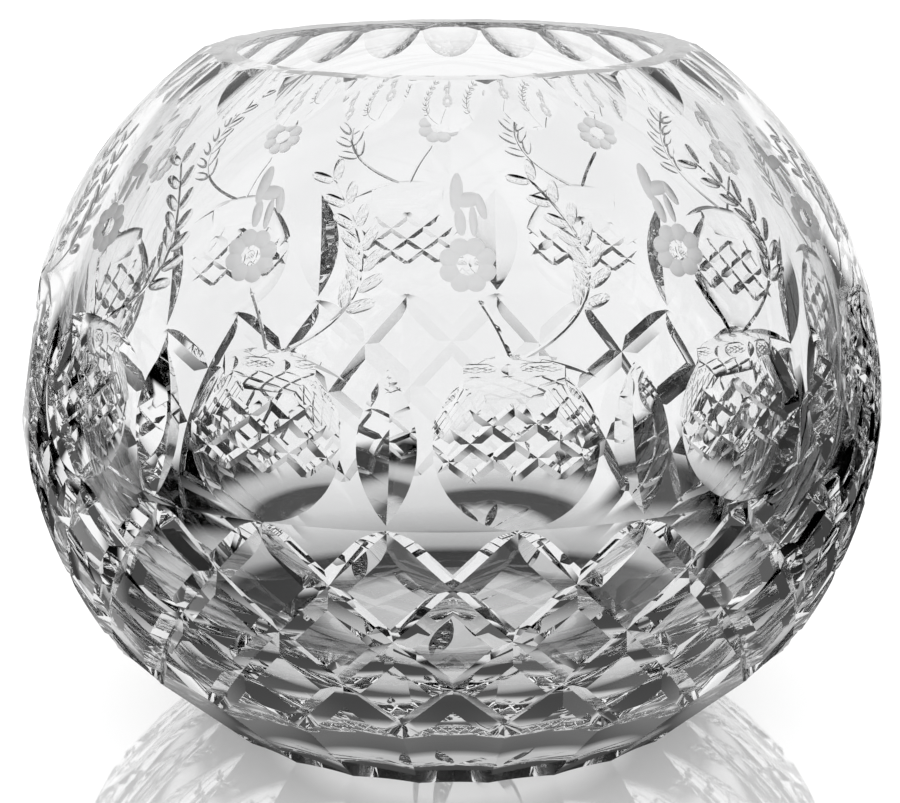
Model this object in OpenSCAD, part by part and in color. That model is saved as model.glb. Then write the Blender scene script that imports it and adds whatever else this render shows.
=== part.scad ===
// Rose bowl vase in heavy cut crystal: one piece of glass, blown thick and then cut on wheels.
// Millimetres, +Z up, origin at the middle of the foot. The pattern is turned round from the front, -Y.

/* [Bowl] */
// Diameter at the widest point
bowl_d = 180; // [170:1:200]
// Height of the widest point above the table
belly_z = 65; // [62:0.5:68]
// Height of the rim above the widest point
rim_rise = 74.5; // [70:0.5:78]
// How far the ball of the lower half lies above the widest point, which draws the foot in
lower_rise = 5; // [2:0.5:8]
// Diameter of the foot, on the flutes
foot_d = 103; // [96:0.5:108]

/* [Wall] */
// Wall thickness at the widest point
wall_t = 6.5; // [5.5:0.1:8]
// Width of the flat ground rim, across its bevel
rim_land = 7; // [5:0.1:9]
// Width of the polished bevel round the rim
rim_bevel = 1; // [0.5:0.1:1.5]
// Glass left under the floor of the inside
floor_t = 12; // [9:0.5:15]
// Radius of the level floor of the inside
floor_r = 30; // [22:0.5:34]

/* [Pattern] */
// Panels round the bowl, each with its round hollow and its upright cut
panels = 12; // [10:1:13]
// Angle of the first upright cut from the front
pattern_turn = -7.5; // [-15:0.5:15]

/* [Diamond lattice] */
// Rows of crossings below the first one, which is level with the widest point
lattice_rows = 4; // [3:1:4]
// Distance between rows of crossings along the wall
lattice_pitch = 11.9; // [11:0.1:12.5]
// Distance of the first crossings below the widest point
lattice_drop = 1; // [0.5:0.1:2]
// How far a mitre runs past its first and last crossings
mitre_past = 1.2; // [0.8:0.1:2]
// Depth of a mitre
mitre_depth = 2.5; // [1.5:0.1:3]
// Angle between the two sides of a mitre
mitre_angle = 100; // [80:1:115]

/* [Upright cuts] */
// Length of an upright cut
upright_len = 28; // [22:0.5:31]
// Width of an upright cut at its middle
upright_w = 11.5; // [8:0.5:13]
// Diameter of the wheel that makes it
upright_wheel_d = 84; // [60:1:120]
// Glass left between the lower tip of an upright cut and the widest point
upright_gap = 1.5; // [1:0.1:2]

/* [Round hollows] */
// Diameter of a round hollow
hollow_d = 30; // [24:0.5:31]
// Height of its middle above the table
hollow_z = 80; // [76:0.5:84]
// Depth of a round hollow
hollow_depth = 2.4; // [1.5:0.1:3]

/* [Thumb cuts] */
// Length of the thumb cut in the top of a round hollow
thumb_len = 17; // [12:0.5:18]
// Width of the thumb cut
thumb_w = 8.5; // [6:0.5:9.5]
// Depth of a thumb cut
thumb_depth = 1.5; // [0.8:0.1:2]
// Distance of its middle from the middle of the hollow, up the wall
thumb_up = 9.5; // [8:0.5:12]

/* [Rim flutes] */
// Length of a flute below the rim
rim_flute_len = 13; // [9:0.5:16]
// Radius of the hollow of a rim flute
rim_flute_r = 30; // [24:1:40]

/* [Foot flutes] */
// Radius of the hollow of a foot flute
foot_flute_r = 70; // [50:1:90]
// Height of the arched top of a foot flute above the table
foot_flute_top = 23; // [20:0.5:25]

/* [Star] */
// Length of a ray of the star under the foot
star_len = 34; // [28:0.5:36]
// Distance of the rays from the middle of the star
star_gap = 4; // [3:0.5:6]
// Depth of a ray at its middle
star_depth = 2; // [1:0.1:2.5]
// Angle between the two sides of a ray
star_angle = 100; // [80:1:115]

/* [Hidden] */
$fn = 96;
over = 1;
rays = 2 * panels;
panel_turn = 360 / panels;
half_turn = 180 / rays;
bowl_r = bowl_d / 2;
foot_r = foot_d / 2;
bowl_h = belly_z + rim_rise;
// Radius of an arc that starts upright at its widest point, a step out and a rise away from its end
function arc_r(step, rise) = (step * step + rise * rise) / (2 * step);
// How far an arc falls away over half of its width
function sag(half, r) = r - sqrt(r * r - half * half);
// The third side of a right triangle
function leg(long, short) = sqrt(long * long - short * short);
mouth_r = leg(bowl_r, rim_rise);
lower_r = norm([bowl_r, lower_rise]);
lower_z = belly_z + lower_rise;
inside_r = bowl_r - wall_t;
inside_z = bowl_h - leg(inside_r, mouth_r - rim_land);
inside_lower_r = arc_r(inside_r - floor_r, inside_z - floor_t);
upper_deg = 180 / (PI * bowl_r);
lower_deg = 180 / (PI * lower_r);
rim_angle = asin(rim_rise / bowl_r);
hollow_angle = asin((hollow_z - belly_z) / bowl_r);
function row_angle(row) = asin(lower_rise / lower_r) + (lattice_drop + row * lattice_pitch) * lower_deg;
upright_depth = sag(upright_len / 2, upright_wheel_d / 2) + sag(upright_len / 2, bowl_r);
// Radius of a wheel that makes a cut of a given length and depth in the upper wall
function wheel_for(len, depth) = arc_r(depth - sag(len / 2, bowl_r), len / 2);

// Puts children on the upper wall, at an angle above the widest point: X round, Y up, Z out of the wall
module on_upper(turn, angle, depth) {
    translate([0, 0, belly_z]) rotate(turn) rotate([90 - angle, 0, 0])
        translate([0, 0, bowl_r - depth]) children();
}
// The same on the lower wall, with the angle counted down from the middle of its own ball
module on_lower(turn, angle, depth) {
    translate([0, 0, lower_z]) rotate(turn) rotate([90 + angle, 0, 0])
        translate([0, 0, lower_r - depth]) children();
}
// The part of a wheel with a sharp edge that a cut needs: it stands on the origin with its rim along Y
module mitre_wheel(r, angle, bite) {
    side = bite * tan(angle / 2);
    intersection() {
        translate([0, 0, r]) rotate([0, 90, 0]) rotate_extrude()
            polygon([[0, -side], [r - bite, -side], [r, 0], [r - bite, side], [0, side]]);
        translate([-side, -r, 0]) cube([2 * side, 2 * r, bite]);
    }
}
// The same of a wheel with a round edge
module round_wheel(r, edge_r, bite) {
    intersection() {
        translate([0, 0, r]) rotate([0, 90, 0]) rotate_extrude() translate([r - edge_r, 0]) circle(edge_r);
        translate([-edge_r, -r, 0]) cube([2 * edge_r, 2 * r, bite]);
    }
}
// A round bar along Y whose underside hollows a flute, no wider than w
module flute(r, len, w) {
    translate([0, len / 2, 0]) rotate([90, 0, 0]) linear_extrude(len) intersection() {
        translate([0, r]) circle(r);
        translate([-w / 2, 0]) square([w, w]);
    }
}

// Outline of the blank, in the half plane that is turned round the axis: two balls that cross at the widest
// point, cut off level at the foot and the rim, with the bevel at the rim's outer edge
module blank_outline() {
    bevel_fall = tan((90 - rim_angle) / 2);
    intersection() {
        translate([0, belly_z]) circle(bowl_r);
        translate([0, lower_z]) circle(lower_r);
        polygon([[0, 0], [bowl_d, 0], [bowl_d, bowl_h - bevel_fall * (bowl_d - mouth_r + rim_bevel)],
            [mouth_r - rim_bevel, bowl_h], [0, bowl_h]]);
    }
}
module inside_outline() {
    intersection() {
        translate([0, inside_z]) circle(inside_r);
        translate([0, inside_z]) square([bowl_r, bowl_h + over - inside_z]);
    }
    intersection() {
        translate([inside_r - inside_lower_r, inside_z]) circle(inside_lower_r);
        translate([0, floor_t]) square([bowl_r, inside_z - floor_t]);
    }
    translate([0, floor_t]) square([floor_r, inside_z - floor_t]);
}

function unit(v) = v / norm(v);
// Direction from the middle of the lower ball to a crossing
function crossing(turn, row) =
    let (a = row_angle(row)) [cos(a) * sin(turn), -cos(a) * cos(turn), -sin(a)];
// One mitre, a plane curve through its first, middle and last crossings, at the same depth all along
module mitre(turn, way) {
    first = crossing(turn, 0);
    middle = crossing(turn + way * lattice_rows / 2 * half_turn, lattice_rows / 2);
    last = crossing(turn + way * lattice_rows * half_turn, lattice_rows);
    z = unit(cross(middle - first, last - first));
    tilt = asin(z * middle);
    x = unit(middle - sin(tilt) * z);
    y = cross(z, x);
    past = mitre_past * lower_deg / cos(tilt);
    start = atan2(first * y, first * x) - past;
    end = atan2(last * y, last * x) + past;
    bite = mitre_depth * 1.3;
    side = bite * tan(mitre_angle / 2);
    translate([0, 0, lower_z]) multmatrix([[x.x, y.x, z.x, 0], [x.y, y.y, z.y, 0], [x.z, y.z, z.z, 0],
        [0, 0, 0, 1]]) rotate_extrude(angle = end - start, start = start) rotate(tilt)
            translate([lower_r - mitre_depth, 0]) polygon([[0, 0], [bite, -side], [bite, side]]);
}
// The mitres that lean the same way, none of which cross
module mitres(way) {
    for (ray = [0 : rays - 1]) mitre(pattern_turn + ray * 2 * half_turn, way);
}
module upright_cuts() {
    angle = (upright_gap + upright_len / 2) * upper_deg;
    for (i = [0 : panels - 1])
        on_upper(pattern_turn + i * panel_turn, angle, upright_depth)
            mitre_wheel(upright_wheel_d / 2, 2 * atan(upright_w / 2 / upright_depth), upright_depth + over);
}
module round_hollows() {
    r = wheel_for(hollow_d, hollow_depth);
    rim = hollow_d / 2 + over;
    for (i = [0 : panels - 1])
        on_upper(pattern_turn + (i + 0.5) * panel_turn, hollow_angle, hollow_depth)
            rotate_extrude() intersection() {
                translate([0, r]) circle(r);
                square([rim, hollow_depth + sag(rim, r)]);
            }
}
module thumb_cuts() {
    angle = hollow_angle + thumb_up * upper_deg;
    r = wheel_for(thumb_len, thumb_depth);
    edge_r = wheel_for(thumb_w, thumb_depth);
    for (i = [0 : panels - 1])
        on_upper(pattern_turn + (i + 0.5) * panel_turn, angle, hollow_depth / 2 + thumb_depth)
            rotate(90) round_wheel(r, edge_r, thumb_depth + hollow_depth);
}
// Every second flute from the given one on, so that none of them meet
module rim_flutes(first) {
    for (i = [first : 2 : rays - 1])
        on_upper(pattern_turn + (i * 2 + 1) * half_turn, rim_angle, sag(rim_flute_len, bowl_r))
            flute(rim_flute_r, 3 * rim_flute_len, 2 * mouth_r * sin(2 * half_turn));
}
module foot_flutes(first) {
    top_r = leg(lower_r, lower_z - foot_flute_top);
    angle = atan2(top_r - foot_r, foot_flute_top);
    depth = lower_r - (foot_r * cos(angle) + lower_z * sin(angle));
    for (i = [first : 2 : rays - 1])
        on_lower(pattern_turn + (i * 2 + 1) * half_turn, angle, depth)
            flute(foot_flute_r, 2 * leg(lower_r, lower_r - depth) + over, 2 * top_r * sin(1.5 * half_turn));
}
module star() {
    r = arc_r(star_depth, star_len / 2);
    for (i = [0 : panels - 1])
        rotate(pattern_turn + i * panel_turn) translate([0, -star_len / 2 - star_gap, star_depth])
            rotate([180, 0, 0]) mitre_wheel(r, star_angle, star_depth + over / 4);
}

// The flutes of the foot come first, then the lattice, and what lies above it last
module bowl() {
    color("gainsboro", 0.5) difference() {
        difference() {
            difference() {
                difference() {
                    difference() {
                        difference() {
                            rotate_extrude() difference() {
                                blank_outline();
                                inside_outline();
                            }
                            foot_flutes(0);
                        }
                        foot_flutes(1);
                    }
                    mitres(-1);
                }
                mitres(1);
            }
            upright_cuts();
            round_hollows();
            rim_flutes(0);
            star();
        }
        thumb_cuts();
        rim_flutes(1);
    }
}

bowl();
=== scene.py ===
import math

import bpy
from mathutils import Matrix, Vector


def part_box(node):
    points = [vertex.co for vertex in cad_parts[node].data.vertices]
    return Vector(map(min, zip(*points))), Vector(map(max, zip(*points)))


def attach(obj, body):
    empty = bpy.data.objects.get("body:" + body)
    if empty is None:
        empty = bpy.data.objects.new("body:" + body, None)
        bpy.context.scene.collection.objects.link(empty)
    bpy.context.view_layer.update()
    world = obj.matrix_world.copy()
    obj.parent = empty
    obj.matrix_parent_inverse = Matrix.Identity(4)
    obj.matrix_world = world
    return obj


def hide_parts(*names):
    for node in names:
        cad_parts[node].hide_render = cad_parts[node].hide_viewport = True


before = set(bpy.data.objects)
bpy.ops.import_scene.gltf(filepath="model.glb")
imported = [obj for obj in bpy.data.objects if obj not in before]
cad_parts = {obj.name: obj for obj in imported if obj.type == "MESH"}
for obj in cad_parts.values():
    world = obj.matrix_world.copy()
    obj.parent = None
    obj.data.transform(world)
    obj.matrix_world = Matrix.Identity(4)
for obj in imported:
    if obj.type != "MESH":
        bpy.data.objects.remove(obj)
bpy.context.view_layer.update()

MM = 0.001
LOW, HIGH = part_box("bowl")

# The blank, as in the solid
BOWL_R = (HIGH[0] - LOW[0]) / 2
BOWL_H = HIGH[2] - LOW[2]
BELLY_Z = 65 * MM
LOWER_RISE = 5 * MM
FOOT_R = 51.5 * MM
WALL = 6.5 * MM
RIM_LAND = 7 * MM
RIM_BEVEL = 1 * MM
FLOOR = 12 * MM
FLOOR_R = 30 * MM

# The main cuts. The mitres are shallower and blunter than the solid's, and start 0.4 mm higher.
# A slope is how far the side of a wheel stands out per unit of depth.
PANELS = 12
UPRIGHT_TURN = -7.5
HOLLOW_TURN = 7.5
LATTICE_ROWS = 4
LATTICE_DROP = 0.6 * MM
LATTICE_PITCH = 11.9 * MM
MITRE_DEPTH = 1.8 * MM
MITRE_SLOPE = math.tan(math.radians(59))
RAY_SLOPE = math.tan(math.radians(50))
UPRIGHT_GAP = 1 * MM
UPRIGHT_LEN = 28 * MM
UPRIGHT_W = 11.5 * MM
UPRIGHT_WHEEL_R = 42 * MM
HOLLOW_D = 30 * MM
HOLLOW_Z = 80 * MM
HOLLOW_DEPTH = 2.4 * MM
RIM_FLUTE_LEN = 13 * MM
RIM_FLUTE_R = 30 * MM
FOOT_FLUTE_R = 70 * MM
FOOT_FLUTE_TOP = 23 * MM
STAR_LEN = 34 * MM
STAR_GAP = 4 * MM
STAR_DEPTH = 2 * MM

# How far a cutter stands out of the glass, and how far past the end of its run-out it goes, in run-outs
LIFT = 0.6 * MM
FINE_LIFT = 0.15 * MM
PAST_END = 1.2

# The two finishes, as places in FINISHES
CLEAR, MATT = 0, 1


def leg(long, short):
    """The third side of a right triangle."""
    return math.sqrt(long * long - short * short)


def sag(half, r):
    """How far an arc falls away over half of its width."""
    return r - leg(r, half)


def arc_r(step, rise):
    """Radius of an arc that falls away by a step over a rise."""
    return (step * step + rise * rise) / (2 * step)


RAYS = 2 * PANELS
HALF_TURN = 180 / RAYS
RIM_RISE = BOWL_H - BELLY_Z
MOUTH_R = leg(BOWL_R, RIM_RISE)
LOWER_R = math.hypot(BOWL_R, LOWER_RISE)
LOWER_Z = BELLY_Z + LOWER_RISE
INSIDE_R = BOWL_R - WALL
INSIDE_Z = BOWL_H - leg(INSIDE_R, MOUTH_R - RIM_LAND)
INSIDE_LOWER_R = arc_r(INSIDE_R - FLOOR_R, INSIDE_Z - FLOOR)
UP = Vector((0, 0, 1))


def around(turn, r, z):
    """The point at a turn, a distance from the axis and a height."""
    a = math.radians(turn)
    return Vector((r * math.sin(a), -r * math.cos(a), z))


def wall(turn, z):
    """A point of the uncut wall, and the way out of the glass there."""
    centre_z, r = (BELLY_Z, BOWL_R) if z > BELLY_Z else (LOWER_Z, LOWER_R)
    point = around(turn, leg(r, z - centre_z), z)
    return point, (point - Vector((0, 0, centre_z))) / r


class Shape:
    """Closed forms, with the true way out of the finished glass at each corner of each face."""

    def __init__(self, finish=CLEAR):
        self.points, self.faces, self.normals, self.finish = [], [], [], finish

    def add(self, points, faces, normals):
        """Adds one closed form, with its faces turned outwards."""
        volume = 0
        for face in faces:
            for b, c in zip(face[1:], face[2:]):
                volume += points[face[0]].dot(points[b].cross(points[c]))
        if volume < 0:
            faces = [tuple(reversed(f)) for f in faces]
            normals = [tuple(reversed(n)) for n in normals]
        base = len(self.points)
        self.points += points
        self.faces += [tuple(base + i for i in f) for f in faces]
        self.normals += normals

    def repeat(self, count):
        """Turns copies of all that is there round the axis."""
        points, faces, normals = list(self.points), list(self.faces), list(self.normals)
        for i in range(1, count):
            spin = Matrix.Rotation(math.tau * i / count, 3, "Z")
            base = len(self.points)
            self.points += [spin @ p for p in points]
            self.faces += [tuple(base + k for k in f) for f in faces]
            self.normals += [tuple(spin @ n for n in corners) for corners in normals]
        return self

    def build(self, name):
        """Makes the object."""
        mesh = bpy.data.meshes.new(name)
        mesh.from_pydata(self.points, [], self.faces)
        mesh.attributes.new("way_out", "FLOAT_VECTOR", "CORNER")
        flat = [x for corners in self.normals for n in corners for x in n]
        mesh.attributes["way_out"].data.foreach_set("vector", flat)
        for material in FINISHES:
            mesh.materials.append(material)
        mesh.polygons.foreach_set("material_index", [self.finish] * len(self.faces))
        mesh.update()
        made = bpy.data.objects.new(name, mesh)
        bpy.context.scene.collection.objects.link(made)
        return made


def lathe(shape, outline, segments):
    """Turns an outline round the axis: a list of stretches of ((r, z), (normal r, normal z)) points."""
    edges = [(s[i], s[i + 1]) for s in outline for i in range(len(s) - 1)]
    rows = [edges[0][0][0]] + [end[0] for _, end in edges]
    points, index = [], []
    for r, z in rows:
        index.append([len(points) + (j if r > 0 else 0) for j in range(segments)])
        points += [around(360 * j / segments, r, z) for j in range(segments if r > 0 else 1)]
    faces, normals = [], []
    for i, (start, end) in enumerate(edges):
        for j in range(segments):
            k = (j + 1) % segments
            corners = [(i, j, start), (i, k, start), (i + 1, k, end), (i + 1, j, end)]
            if start[0][0] <= 0:
                corners.pop(0)
            elif end[0][0] <= 0:
                corners.pop(3)
            faces.append(tuple(index[row][col] for row, col, _ in corners))
            normals.append(tuple(around(360 * col / segments, n[0], n[1]) for _, col, (_, n) in corners))
    shape.add(points, faces, normals)


def arc(centre, r, start, end, steps, side):
    """A stretch of an outline along an arc, with the glass inside (side 1) or outside it (side -1)."""
    out = []
    for i in range(steps + 1):
        a = math.radians(start + (end - start) * i / steps)
        c, s = math.cos(a), math.sin(a)
        out.append(((centre[0] + r * c, centre[1] + r * s), (side * c, side * s)))
    return out


def line(start, end, normal):
    return [(start, normal), (end, normal)]


def blank():
    """The blown bowl before cutting."""
    foot_low = math.degrees(math.asin(LOWER_Z / LOWER_R))
    belly_low = math.degrees(math.asin(LOWER_RISE / LOWER_R))
    rim_angle = math.degrees(math.asin(RIM_RISE / BOWL_R))
    bevel_up = math.radians(45 + rim_angle / 2)
    bevel_n = (math.cos(bevel_up), math.sin(bevel_up))
    edge = (MOUTH_R - RIM_BEVEL, BOWL_H)
    reach = bevel_n[0] * edge[0] + bevel_n[1] * RIM_RISE
    bevel_low = math.degrees(bevel_up - math.acos(reach / BOWL_R))
    lower = arc((0, LOWER_Z), LOWER_R, -foot_low, -belly_low, 26, 1)
    upper = arc((0, BELLY_Z), BOWL_R, 0, bevel_low, 26, 1)
    inner = math.degrees(math.asin((BOWL_H - INSIDE_Z) / INSIDE_R))
    inside = arc((0, INSIDE_Z), INSIDE_R, inner, 0, 18, -1)
    low = math.degrees(math.asin((INSIDE_Z - FLOOR) / INSIDE_LOWER_R))
    inside_low = arc((INSIDE_R - INSIDE_LOWER_R, INSIDE_Z), INSIDE_LOWER_R, 0, -low, 18, -1)
    shape = Shape()
    lathe(shape, [
        line((0, 0), lower[0][0], (0, -1)),
        lower,
        upper,
        line(upper[-1][0], edge, bevel_n),
        line(edge, inside[0][0], (0, 1)),
        inside,
        inside_low,
        line(inside_low[-1][0], (0, FLOOR), (0, 1)),
    ], 288)
    return shape


def sweep(shape, rings):
    """Joins rings of (point, normal of the face before, normal of the face after) into one closed form."""
    count = len(rings[0])
    points = [corner[0] for ring in rings for corner in ring]
    faces, normals = [], []
    for i in range(len(rings) - 1):
        for j in range(count):
            k = (j + 1) % count
            faces.append((i * count + j, i * count + k, (i + 1) * count + k, (i + 1) * count + j))
            normals.append((rings[i][j][2], rings[i][k][1], rings[i + 1][k][1], rings[i + 1][j][2]))
    last = (len(rings) - 1) * count
    faces += [tuple(reversed(range(count))), tuple(range(last, last + count))]
    normals += [(UP,) * count, (UP,) * count]
    shape.add(points, faces, normals)


def sharp_edge(slope, top, way):
    """Section of a cutter with flat sides, as (aside, up, way out before, way out after) corners."""
    left, right = way(1 / slope, 1), way(-1 / slope, 1)
    return [(-slope * top, top, UP, left), (0, 0, left, right), (slope * top, top, right, UP)]


def round_edge(r, top, lift, widest, steps, way):
    """Section of a cutter with a round edge, in the same form."""
    reach = leg(r, r - min(top, r))
    swing = math.asin(min(reach, widest or reach) / r)
    section = []
    for j in range(steps + 1):
        a = swing * (2 * j / steps - 1)
        n = way(-math.sin(a), math.cos(a))
        section.append((r * math.sin(a), r * (1 - math.cos(a)), n, n))
    start, end = section[0][0], section[-1][0]
    return [(start, top + lift, UP, UP)] + section + [(end, top + lift, UP, UP)]


def groove(shape, path, depth, slope=None, edge_r=None, widest=None, lift=LIFT, steps=10):
    """Cuts along a path of (point, way out), to the depth at each point, which is negative above the wall.
    The wheel has a sharp edge with sides of a slope, or a round edge."""
    rings = []
    for i, (point, out) in enumerate(path):
        a, b = max(i - 1, 0), min(i + 1, len(path) - 1)
        run = path[b][0] - path[a][0]
        fall = (depth[b] - depth[a]) / run.length
        along = (run - out * run.dot(out)).normalized()
        side = along.cross(out)

        def way(aside, up):
            return (out * up + side * aside + along * fall).normalized()

        top = depth[i] + lift
        if slope:
            section = sharp_edge(slope, top, way)
        else:
            section = round_edge(edge_r, top, lift, widest, steps, way)
        floor = point - out * depth[i]
        rings.append([(floor + side * s + out * h, before, after) for s, h, before, after in section])
    sweep(shape, rings)


def dish(shape, point, out, across, depth, wall_r=None, lift=LIFT, rings=8, segments=48):
    """A round hollow ground with a ball, across a wall that bends with a radius or is nearly flat."""
    half = across / 2
    r = arc_r(depth - (sag(half, wall_r) if wall_r else 0), half)
    top = depth + lift
    centre = point + out * (r - depth)
    swing = math.acos((r - top) / r)
    side = out.orthogonal().normalized()
    up = out.cross(side)
    points = [point - out * depth]
    for i in range(1, rings + 1):
        a = swing * i / rings
        for j in range(segments):
            b = math.tau * j / segments
            ray = side * math.cos(b) + up * math.sin(b)
            points.append(centre + (ray * math.sin(a) - out * math.cos(a)) * r)
    faces, normals = [], []
    for j in range(segments):
        k = (j + 1) % segments
        faces.append((0, 1 + j, 1 + k))
        for i in range(rings - 1):
            a, b = 1 + i * segments, 1 + (i + 1) * segments
            faces.append((a + j, b + j, b + k, a + k))
    for face in faces:
        normals.append(tuple((centre - points[i]) / r for i in face))
    faces.append(tuple(1 + (rings - 1) * segments + j for j in reversed(range(segments))))
    normals.append((UP,) * segments)
    shape.add(points, faces, normals)


def dip(deep, steps, reach, lift=LIFT):
    """Places along a cut and the depths there. It runs out at its ends, at reach from its middle."""
    end = math.sqrt(1 + 0.5 * lift / deep)
    places = [end * (2 * i / steps - 1) for i in range(steps + 1)]
    return [reach * u for u in places], [deep * (1 - u * u) for u in places]


# Where the cutters of the flutes start, in half lengths of the cut before its middle
FLUTE_START = 1.2


def foot_flutes(first):
    """Every second one of the arched flutes round the foot."""
    top_r = leg(LOWER_R, LOWER_Z - FOOT_FLUTE_TOP)
    angle = math.atan2(top_r - FOOT_R, FOOT_FLUTE_TOP)
    depth = LOWER_R - (FOOT_R * math.cos(angle) + LOWER_Z * math.sin(angle))
    turn = UPRIGHT_TURN + (2 * first + 1) * HALF_TURN
    out = around(turn, math.cos(angle), -math.sin(angle))
    up = around(turn, math.sin(angle), math.cos(angle))
    middle = Vector((0, 0, LOWER_Z)) + out * LOWER_R
    reach = leg(LOWER_R, LOWER_R - depth)
    path = [(middle + up * reach * (i / 8 - FLUTE_START), out) for i in range(19)]
    shape = Shape()
    widest = top_r * math.sin(math.radians(1.5 * HALF_TURN))
    groove(shape, path, [depth] * len(path), edge_r=FOOT_FLUTE_R, widest=widest, steps=20)
    return shape.repeat(PANELS)


def rim_flutes(first):
    """Every second one of the flutes below the rim."""
    turn = UPRIGHT_TURN + (2 * first + 1) * HALF_TURN
    point, out = wall(turn, BOWL_H)
    up = around(turn, -out.z, 0) + UP * math.hypot(out.x, out.y)
    path = [(point + up * RIM_FLUTE_LEN * (i / 10 - FLUTE_START), out) for i in range(19)]
    shape = Shape()
    groove(shape, path, [sag(RIM_FLUTE_LEN, BOWL_R)] * len(path), edge_r=RIM_FLUTE_R, steps=14)
    return shape.repeat(PANELS)


# Along a mitre, in rows of the lattice: where the wheel touches the glass and how far on it is fully sunk
MITRE_START = -0.06
MITRE_SINK = 0.42
# Length of a mitre per pitch of the lattice
MITRE_LEAN = 1.25


def mitre_places(run_out):
    """Places along a mitre, in rows."""
    sinking = [MITRE_START + MITRE_SINK * i / 8 for i in range(-1, 9)]
    sunk = [i / 6 for i in range(3, 6 * LATTICE_ROWS + 1)]
    return sinking + sunk + [LATTICE_ROWS + run_out, LATTICE_ROWS + PAST_END * run_out]


def mitres(way):
    """The mitres of the diamond lattice that lean one way."""
    run_out = MITRE_DEPTH * MITRE_SLOPE / (LATTICE_PITCH * MITRE_LEAN)
    path, depth = [], []
    for row in mitre_places(run_out):
        down = math.asin(LOWER_RISE / LOWER_R) + (LATTICE_DROP + row * LATTICE_PITCH) / LOWER_R
        out = around(UPRIGHT_TURN + way * row * HALF_TURN, math.cos(down), -math.sin(down))
        path.append((Vector((0, 0, LOWER_Z)) + out * LOWER_R, out))
        short = max(0, 1 - (row - MITRE_START) / MITRE_SINK)
        past = max(0, row - LATTICE_ROWS) / run_out
        depth.append(MITRE_DEPTH * (1 - short * short - past))
    shape = Shape()
    groove(shape, path, depth, slope=MITRE_SLOPE)
    return shape.repeat(RAYS)


def upright_cuts():
    """The pointed upright cuts between the hollows."""
    deep = sag(UPRIGHT_LEN / 2, UPRIGHT_WHEEL_R) + sag(UPRIGHT_LEN / 2, BOWL_R)
    places, depth = dip(deep, 28, UPRIGHT_LEN / 2)
    path = []
    for s in places:
        a = (UPRIGHT_GAP + UPRIGHT_LEN / 2 + s) / BOWL_R
        out = around(UPRIGHT_TURN, math.cos(a), math.sin(a))
        path.append((Vector((0, 0, BELLY_Z)) + out * BOWL_R, out))
    shape = Shape()
    groove(shape, path, depth, slope=UPRIGHT_W / 2 / deep)
    return shape.repeat(PANELS)


def round_hollows():
    point, out = wall(HOLLOW_TURN, HOLLOW_Z)
    shape = Shape()
    dish(shape, point, out, HOLLOW_D, HOLLOW_DEPTH, wall_r=BOWL_R, rings=16, segments=96)
    return shape.repeat(PANELS)


class Patch:
    """A flat drawing laid on the wall: x to the right and y up, from a middle at a turn and a height."""

    def __init__(self, turn, z):
        self.point, self.out = wall(turn, z)
        self.side = around(turn + 90, 1, 0)
        self.up = self.out.cross(self.side)
        self.centre = Vector((0, 0, BELLY_Z))

    def at(self, x, y):
        """The point of the upper wall under a point of the drawing."""
        out = (self.point + self.side * x + self.up * y - self.centre).normalized()
        return self.centre + out * BOWL_R, out


class HollowPatch(Patch):
    """The same in the bottom of a round hollow."""

    def at(self, x, y):
        r = arc_r(HOLLOW_DEPTH - sag(HOLLOW_D / 2, BOWL_R), HOLLOW_D / 2)
        centre = self.point + self.out * (r - HOLLOW_DEPTH)
        out = (centre - (self.point - self.out * HOLLOW_DEPTH + self.side * x + self.up * y)).normalized()
        return centre - out * r, out


# Thumb cuts round the top of each hollow, as (length, width, depth)
THUMB_RING_R = 10.8 * MM
MIDDLE_THUMB = (15.5 * MM, 7.4 * MM, 0.7 * MM)
SIDE_THUMB = (11 * MM, 5.6 * MM, 0.6 * MM)
SIDE_THUMB_ANGLE = 52


def thumb(shape, angle, size):
    """An oval cut with its middle on a ring in the hollow, at an angle from the top."""
    length, width, deep = size
    patch = Patch(HOLLOW_TURN, HOLLOW_Z)
    a = math.radians(angle)
    x, y = THUMB_RING_R * math.sin(a), THUMB_RING_R * math.cos(a)
    places, depth = dip(deep, 20, length / 2)
    path = [patch.at(x + s * math.cos(a), y - s * math.sin(a)) for s in places]
    hollow_there = HOLLOW_DEPTH / 2
    r = arc_r(deep, width / 2)
    groove(shape, path, [d + hollow_there for d in depth], edge_r=r, steps=16)


def middle_thumbs():
    shape = Shape()
    thumb(shape, 0, MIDDLE_THUMB)
    return shape.repeat(PANELS)


def side_thumbs():
    shape = Shape()
    thumb(shape, SIDE_THUMB_ANGLE, SIDE_THUMB)
    thumb(shape, -SIDE_THUMB_ANGLE, SIDE_THUMB)
    return shape.repeat(PANELS)


# Fine crossed grooves in each hollow
HATCH_TOP = 6.8 * MM
HATCH_ROW = 3.05 * MM
HATCH_ROWS = 4
HATCH_STEP = 4 * MM
HATCH_DEPTH = 0.65 * MM
HATCH_SLOPE = math.tan(math.radians(60))
# Distance from the edge of the hollow over which a groove runs out, in steps
HATCH_FADE = 0.8


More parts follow.
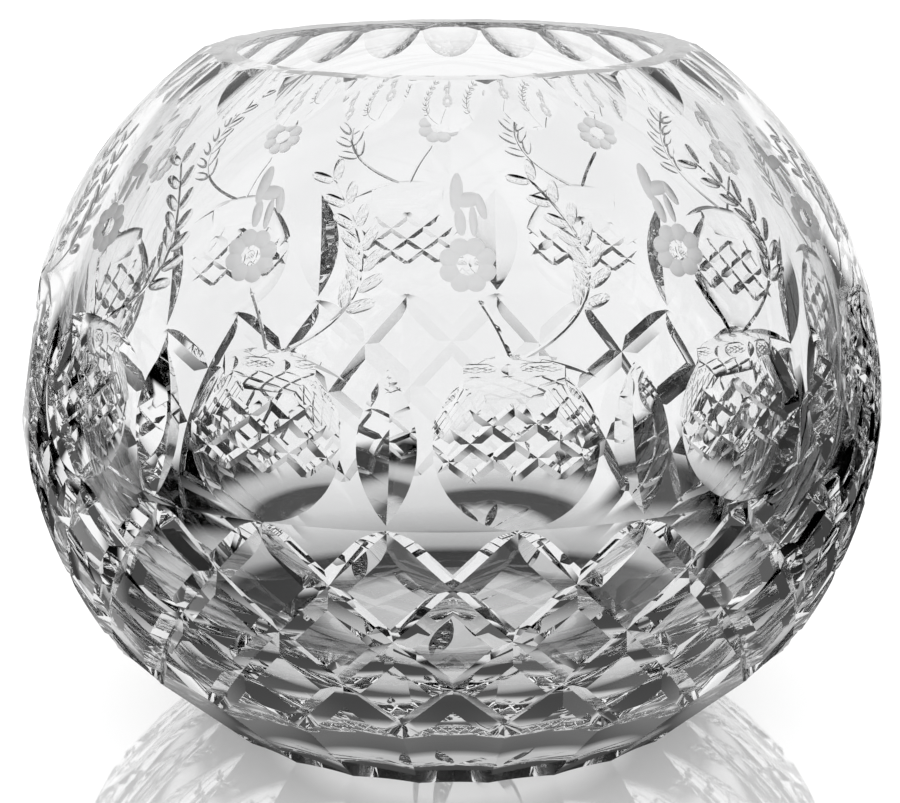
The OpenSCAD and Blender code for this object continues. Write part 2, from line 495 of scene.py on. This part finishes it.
def hatch(way):
    """The fine grooves that lean one way."""
    patch = HollowPatch(HOLLOW_TURN, HOLLOW_Z)
    shape = Shape()
    run_out = HATCH_DEPTH * HATCH_SLOPE / math.hypot(HATCH_STEP, HATCH_ROW)
    rows = [-PAST_END * run_out, -run_out] + [i / 3 for i in range(3 * HATCH_ROWS + 1)]
    rows += [HATCH_ROWS + run_out, HATCH_ROWS + PAST_END * run_out]
    for start in range(-6, 7, 2):
        path, depth = [], []
        for row in rows:
            x = (start + way * row) * HATCH_STEP
            y = HATCH_TOP - row * HATCH_ROW
            inner = HOLLOW_D / 2 - math.hypot(x, y)
            past = max(0, -row, row - HATCH_ROWS) / run_out
            edge = max(0, 1 - inner / (HATCH_FADE * HATCH_STEP))
            if past + edge < 1.01 * PAST_END:
                path.append(patch.at(x, y))
                depth.append(HATCH_DEPTH * (1 - past - edge))
        if len(path) > 3:
            groove(shape, path, depth, slope=HATCH_SLOPE, lift=FINE_LIFT)
    return shape.repeat(PANELS)


def star():
    """The rays of the star under the foot."""
    places, depth = dip(STAR_DEPTH, 16, STAR_LEN / 2)
    path = [(around(UPRIGHT_TURN, STAR_GAP + STAR_LEN / 2 + s, 0), -UP) for s in places]
    shape = Shape()
    groove(shape, path, depth, slope=RAY_SLOPE)
    return shape.repeat(PANELS)


# The engraved spray of each panel. Places are (turn, height). NODE is where its stems and long leaf meet.
NODE = (7.3, 94.2 * MM)
ROSETTE = (2.2, 110.7 * MM)
PETALS = 8
PETAL_RING_R = 3.45 * MM
PETAL_D = 3.9 * MM
PETAL_DEPTH = 0.3 * MM
EYE_D = 4.6 * MM
EYE_DEPTH = 0.35 * MM
SPRAY_BEND = (27, 106.6 * MM)
SPRAY_TIP = (11.3, 124.7 * MM)
SPRAY_TAPER = 0.4
FLOWER_BEND = (6.2, 100 * MM)
FLOWER_END = (ROSETTE[0] + 1, ROSETTE[1] - 5 * MM)
STEM_DEPTH = 0.35 * MM
STEM_SLOPE = 1.2
BLADE = ((8.4, 95.2 * MM), (13, 95.2 * MM), (17.4, 91.2 * MM))
BLADE_DEPTH = 0.5 * MM
BLADE_SLOPE = 1.5
BUD_DEPTH = 0.3 * MM
LEAVES = 7
LEAF_LEN = 6.2 * MM
LEAF_W = 2.6 * MM
LEAF_DEPTH = 0.55 * MM
LEAF_GAP = 0.6 * MM
LEAF_ANGLE = math.radians(34)
# First and last leaf as shares of the spray's length, and how much smaller a leaf at its tip is
LEAF_FIRST, LEAF_LAST = 0.32, 0.96
LEAF_SHRINK = 0.25


def bend(start, through, end, t):
    """A point of a smooth bend from start to end, drawn towards through."""
    return [a * (1 - t) ** 2 + 2 * b * t * (1 - t) + c * t * t for a, b, c in zip(start, through, end)]


def petals(first):
    """Every second petal of each rosette, ground matt."""
    patch = Patch(*ROSETTE)
    shape = Shape(MATT)
    for i in range(first, PETALS, 2):
        a = math.tau * (i + 0.5) / PETALS
        point, out = patch.at(PETAL_RING_R * math.sin(a), PETAL_RING_R * math.cos(a))
        dish(shape, point, out, PETAL_D, PETAL_DEPTH, lift=FINE_LIFT, rings=4, segments=24)
    return shape.repeat(PANELS)


def rosette_eyes():
    point, out = wall(*ROSETTE)
    shape = Shape()
    dish(shape, point, out, EYE_D, EYE_DEPTH, lift=FINE_LIFT, rings=6, segments=32)
    return shape.repeat(PANELS)


def almond(shape, start, end, width, deep, wall_at):
    """A pointed leaf cut from start to end of a drawing."""
    places, depth = dip(deep, 12, 0.5, FINE_LIFT)
    path = []
    for s in places:
        x, y = (a + (b - a) * (0.5 + s) for a, b in zip(start, end))
        path.append(wall_at(x, y))
    groove(shape, path, depth, edge_r=arc_r(deep, width / 2), lift=FINE_LIFT, steps=8)


# Bud leaves above each rosette: start and end to the right of and above its middle, and width, in mm.
# The first three lie clear of each other.
BUD_LEAVES = (
    ((1.3, 5.2), (1.1, 11.4), 1.5),
    ((-0.9, 5.4), (-1.4, 11), 2.1),
    ((1.9, 14), (3.4, 8.6), 1.8),
    ((-1.9, 10), (-1.5, 18.4), 2.5),
    ((-2.4, 12.2), (2.8, 13), 3.2),
)


def buds(which):
    patch = Patch(*ROSETTE)
    shape = Shape(MATT)
    for start, end, width in which:
        almond(shape, [c * MM for c in start], [c * MM for c in end], width * MM, BUD_DEPTH, patch.at)
    return shape.repeat(PANELS)


def stem(points, deep, taper=0):
    """A thin line cut along a list of (turn, height) points."""
    path = [wall(*p) for p in points]
    last = len(points) - 1
    above = -0.5 * FINE_LIFT
    depth = [above] + [deep * (1 - taper * i / last) for i in range(1, last)] + [above]
    shape = Shape()
    groove(shape, path, depth, slope=STEM_SLOPE, lift=FINE_LIFT)
    return shape.repeat(PANELS)


def spray_stem():
    return stem([bend(NODE, SPRAY_BEND, SPRAY_TIP, i / 24) for i in range(25)], STEM_DEPTH, SPRAY_TAPER)


def flower_stem():
    return stem([bend(NODE, FLOWER_BEND, FLOWER_END, i / 12) for i in range(13)], STEM_DEPTH)


def blade():
    """The long narrow leaf that droops to the right of the node."""
    places, depth = dip(BLADE_DEPTH, 16, 0.5, FINE_LIFT)
    path = [wall(*bend(*BLADE, 0.5 + s)) for s in places]
    shape = Shape()
    groove(shape, path, depth, slope=BLADE_SLOPE, lift=FINE_LIFT)
    return shape.repeat(PANELS)


def leaves(side, first):
    """Every second polished leaf along the outer (1) or inner (-1) side of each spray."""
    shape = Shape()
    for i in range(first, LEAVES, 2):
        t = LEAF_FIRST + (LEAF_LAST - LEAF_FIRST) * i / (LEAVES - 1)
        turn, z = bend(NODE, SPRAY_BEND, SPRAY_TIP, t)
        ahead = bend(NODE, SPRAY_BEND, SPRAY_TIP, t + 0.02)
        patch = Patch(turn, z)
        run = wall(*ahead)[0] - patch.point
        way = math.atan2(run.dot(patch.up), run.dot(patch.side)) - side * LEAF_ANGLE
        x, y = math.cos(way), math.sin(way)
        size = 1 - LEAF_SHRINK * t
        near, far = LEAF_GAP, LEAF_GAP + LEAF_LEN * size
        almond(shape, (near * x, near * y), (far * x, far * y), LEAF_W * size, LEAF_DEPTH, patch.at)
    return shape.repeat(PANELS)


def crystal(name, colour, roughness):
    """Lead crystal of a colour and a roughness."""
    material = bpy.data.materials.new(name)
    material.use_nodes = True
    shader = material.node_tree.nodes["Principled BSDF"]
    shader.inputs["Base Color"].default_value = (*colour, 1)
    shader.inputs["Roughness"].default_value = roughness
    shader.inputs["IOR"].default_value = 1.545
    shader.inputs["Transmission Weight"].default_value = 1
    return material


# Polished crystal, and crystal left grey from the wheel
FINISHES = (
    crystal("clear_crystal", (0.995, 0.997, 1), 0),
    crystal("matt_crystal", (0.93, 0.93, 0.93), 0.55),
)


def cut_bowl():
    """Cuts the blank, one family of cuts that don't touch each other at a time."""
    families = [
        foot_flutes(0), foot_flutes(1), mitres(-1), mitres(1), upright_cuts(), round_hollows(),
        middle_thumbs(), side_thumbs(), hatch(-1), hatch(1), rim_flutes(0), rim_flutes(1), star(),
        petals(0), petals(1), rosette_eyes(),
        buds(BUD_LEAVES[:3]), buds(BUD_LEAVES[3:4]), buds(BUD_LEAVES[4:]),
        spray_stem(), flower_stem(), blade(), leaves(1, 0), leaves(1, 1), leaves(-1, 0), leaves(-1, 1),
    ]
    body = blank().build("crystal_bowl")
    cutters = []
    for i, family in enumerate(families):
        cutter = family.build(f"cutter_{i}")
        cutters.append(cutter)
        cut = body.modifiers.new(f"cut_{i}", "BOOLEAN")
        cut.operation, cut.solver, cut.object = "DIFFERENCE", "MANIFOLD", cutter
    graph = bpy.context.evaluated_depsgraph_get()
    mesh = bpy.data.meshes.new_from_object(body.evaluated_get(graph))
    body.modifiers.clear()
    body.data = mesh
    for cutter in cutters:
        bpy.data.objects.remove(cutter)
    mesh.validate(clean_customdata=False)
    mesh.shade_smooth()
    ways = [corner.vector.normalized() for corner in mesh.attributes["way_out"].data]
    mesh.normals_split_custom_set(ways)
    return body


def ramp(tree, value, low, high, start, end):
    """A smooth step of a value from start to end."""
    node = tree.nodes.new("ShaderNodeMapRange")
    node.interpolation_type = "SMOOTHSTEP"
    tree.links.new(value, node.inputs["Value"])
    for name, number in (("From Min", low), ("From Max", high), ("To Min", start), ("To Max", end)):
        node.inputs[name].default_value = number
    return node.outputs["Result"]


def sums(tree, operation, *values):
    """One step of arithmetic on sockets and numbers."""
    node = tree.nodes.new("ShaderNodeMath")
    node.operation = operation
    for socket, value in zip(node.inputs, values):
        if isinstance(value, (int, float)):
            socket.default_value = value
        else:
            tree.links.new(value, socket)
    return node.outputs[0]


def blend(tree, share, start, end):
    """Goes from start to end as a share goes from 0 to 1."""
    return sums(tree, "MULTIPLY_ADD", share, sums(tree, "SUBTRACT", end, start), start)


# The studio's dark flags, as the glass sees them: the angles from the back (+Y) towards +X at which it turns
# from dark to white and back, close to the bowl and far off. The ones close to the bowl are only painted on
# the table as reflections of the flags; the far ones are the world's flags, also painted on the table as
# their reflections.
FLAGS = (-104, -80, -30, 26, 125, 150)
FAR_FLAGS = (-104, -80, -48, 40, 125, 150)
FLAG_EDGE = 2
# Distances from the axis over which the painted flag reflections on the table fade in, and over which the
# near ones give way to the far ones
FLAG_NEAR, FLAG_FAR = 0.07, 0.11
FAR_START, FAR_END = 0.15, 0.2
# Rise of a ray over which the white ends, and how dark mirrored flags are
CEIL = (0.14, 0.25)
MIRROR_DARK = 0.5
# Painted shade of the table at distances from the bowl's axis, as the glass sees it: the bowl's painted
# shadow, with the foot's painted contact shadow as the dark ring
PAINTED_SHADOW_RINGS = (
    (0, 0.7), (0.028, 0.6),
    (0.037, 0.07), (0.055, 0.06),
    (0.062, 0.5), (0.09, 0.8), (0.13, 0.95), (0.2, 1),
)
TABLE_SIZE = 12
TABLE_LIFT = 0.25
TABLE_MIRROR = 0.4


def by_glass(tree):
    """1 for a ray from the glass or from a mirror image, and 0 for one from the camera or the table."""
    path = tree.nodes.new("ShaderNodeLightPath")
    return sums(tree, "MAXIMUM", path.outputs["Is Transmission Ray"], path.outputs["Is Glossy Ray"])


def levels(tree, value, low, high, stops):
    """Reads a list of (value, brightness) at a value, from low to high."""
    node = tree.nodes.new("ShaderNodeValToRGB")
    share = sums(tree, "MULTIPLY_ADD", value, 1 / (high - low), low / (low - high))
    tree.links.new(share, node.inputs[0])
    elements = node.color_ramp.elements
    while len(elements) < len(stops):
        elements.new(0.5)
    for element, (place, level) in zip(elements, stops):
        element.position = (place - low) / (high - low)
        element.color = (level, level, level, 1)
    return node.outputs["Color"]


def flags(tree, x, y, edges):
    """Brightness of the studio in the direction of x and y."""
    turn = sums(tree, "DEGREES", sums(tree, "ARCTAN2", x, y))
    stops = []
    for i, edge in enumerate(edges):
        stops += [(edge - FLAG_EDGE, i % 2), (edge + FLAG_EDGE, 1 - i % 2)]
    return levels(tree, turn, -180, 180, stops)


def painted_table_shading(tree):
    """Brightness of the table as the glass sees it, with the bowl's shadow and the flags' reflections
    painted in.
    """
    place = tree.nodes.new("ShaderNodeNewGeometry")
    split = tree.nodes.new("ShaderNodeSeparateXYZ")
    tree.links.new(place.outputs["Position"], split.inputs[0])
    x, y = split.outputs["X"], split.outputs["Y"]
    away = sums(tree, "SQRT", sums(tree, "ADD", sums(tree, "MULTIPLY", x, x), sums(tree, "MULTIPLY", y, y)))
    far = ramp(tree, away, FAR_START, FAR_END, 0, 1)
    # Painted reflections of the dark flags on the table, fading in away from the bowl
    white = blend(tree, far, flags(tree, x, y, FLAGS), flags(tree, x, y, FAR_FLAGS))
    level = blend(tree, ramp(tree, away, FLAG_NEAR, FLAG_FAR, 0, 1), 1, white)
    # Times the bowl's painted shadow rings
    return sums(tree, "MULTIPLY", level, levels(tree, away, 0, PAINTED_SHADOW_RINGS[-1][0], PAINTED_SHADOW_RINGS))


def table_material():
    """A pale glossy sheet, which only the camera sees a little brighter than its light. The glass and mirror
    images see a painted glow instead, with the bowl's painted shadow and painted reflections of the flags.
    """
    material = bpy.data.materials.new("table_white_painted_shade")
    material.use_nodes = True
    tree = material.node_tree
    shader = tree.nodes["Principled BSDF"]
    shader.inputs["Base Color"].default_value = (1, 1, 1, 1)
    shader.inputs["Metallic"].default_value = TABLE_MIRROR
    shader.inputs["Roughness"].default_value = 0.04
    shader.inputs["Emission Color"].default_value = (1, 1, 1, 1)
    path = tree.nodes.new("ShaderNodeLightPath")
    lift = sums(tree, "MULTIPLY", path.outputs["Is Camera Ray"], TABLE_LIFT)
    tree.links.new(lift, shader.inputs["Emission Strength"])
    # Painted glow for rays from the glass: the bowl's painted shadow and painted reflections of the flags
    glow = tree.nodes.new("ShaderNodeEmission")
    tree.links.new(painted_table_shading(tree), glow.inputs["Color"])
    mix = tree.nodes.new("ShaderNodeMixShader")
    for source, socket in zip((by_glass(tree), shader.outputs[0], glow.outputs[0]), mix.inputs):
        tree.links.new(source, socket)
    tree.links.new(mix.outputs[0], tree.nodes["Material Output"].inputs["Surface"])
    return material


def floor():
    bpy.ops.mesh.primitive_plane_add(size=TABLE_SIZE)
    made = bpy.context.object
    made.name = "table"
    made.data.materials.append(table_material())
    return made


def studio():
    """A white backdrop all round for the camera and the table, and dark flags in it for the glass."""
    world = bpy.data.worlds.new("studio")
    bpy.context.scene.world = world
    world.use_nodes = True
    tree = world.node_tree
    place = tree.nodes.new("ShaderNodeTexCoord")
    split = tree.nodes.new("ShaderNodeSeparateXYZ")
    tree.links.new(place.outputs["Generated"], split.inputs[0])
    level = flags(tree, split.outputs["X"], split.outputs["Y"], FAR_FLAGS)
    through = sums(tree, "MULTIPLY", level, ramp(tree, split.outputs["Z"], *CEIL, 1, 0))
    mirrored = blend(tree, MIRROR_DARK, 1, level)
    path = tree.nodes.new("ShaderNodeLightPath")
    level = blend(tree, path.outputs["Is Transmission Ray"], mirrored, through)
    tree.links.new(blend(tree, by_glass(tree), 1, level), tree.nodes["Background"].inputs["Color"])


# The camera: how far it stands aside, how far away and above the table in bowl radii, how far it looks down
# and leans in radians, and its lens in mm
CAMERA_ASIDE = 0.3 * MM
CAMERA_AWAY = 5.6
CAMERA_UP = 2.2511
CAMERA_DOWN = 0.2677
CAMERA_LEAN = 0.0053
CAMERA_LENS = 98.5
# The most surfaces that a ray meets, enough for the cuts of four walls
MOST_BOUNCES = 24


def camera():
    data = bpy.data.cameras.new("camera")
    made = bpy.data.objects.new("camera", data)
    bpy.context.scene.collection.objects.link(made)
    data.lens = CAMERA_LENS
    data.clip_start = 0.01
    made.location = (CAMERA_ASIDE, -CAMERA_AWAY * BOWL_R, CAMERA_UP * BOWL_R)
    made.rotation_euler = (math.pi / 2 - CAMERA_DOWN, CAMERA_LEAN, 0)
    bpy.context.scene.camera = made
    rays = bpy.context.scene.cycles
    rays.max_bounces = rays.transmission_bounces = rays.glossy_bounces = MOST_BOUNCES


bowl = cut_bowl()
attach(bowl, "root")
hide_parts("bowl")
floor()
studio()
camera()
bpy.context.scene.view_settings.view_transform = "Standard"
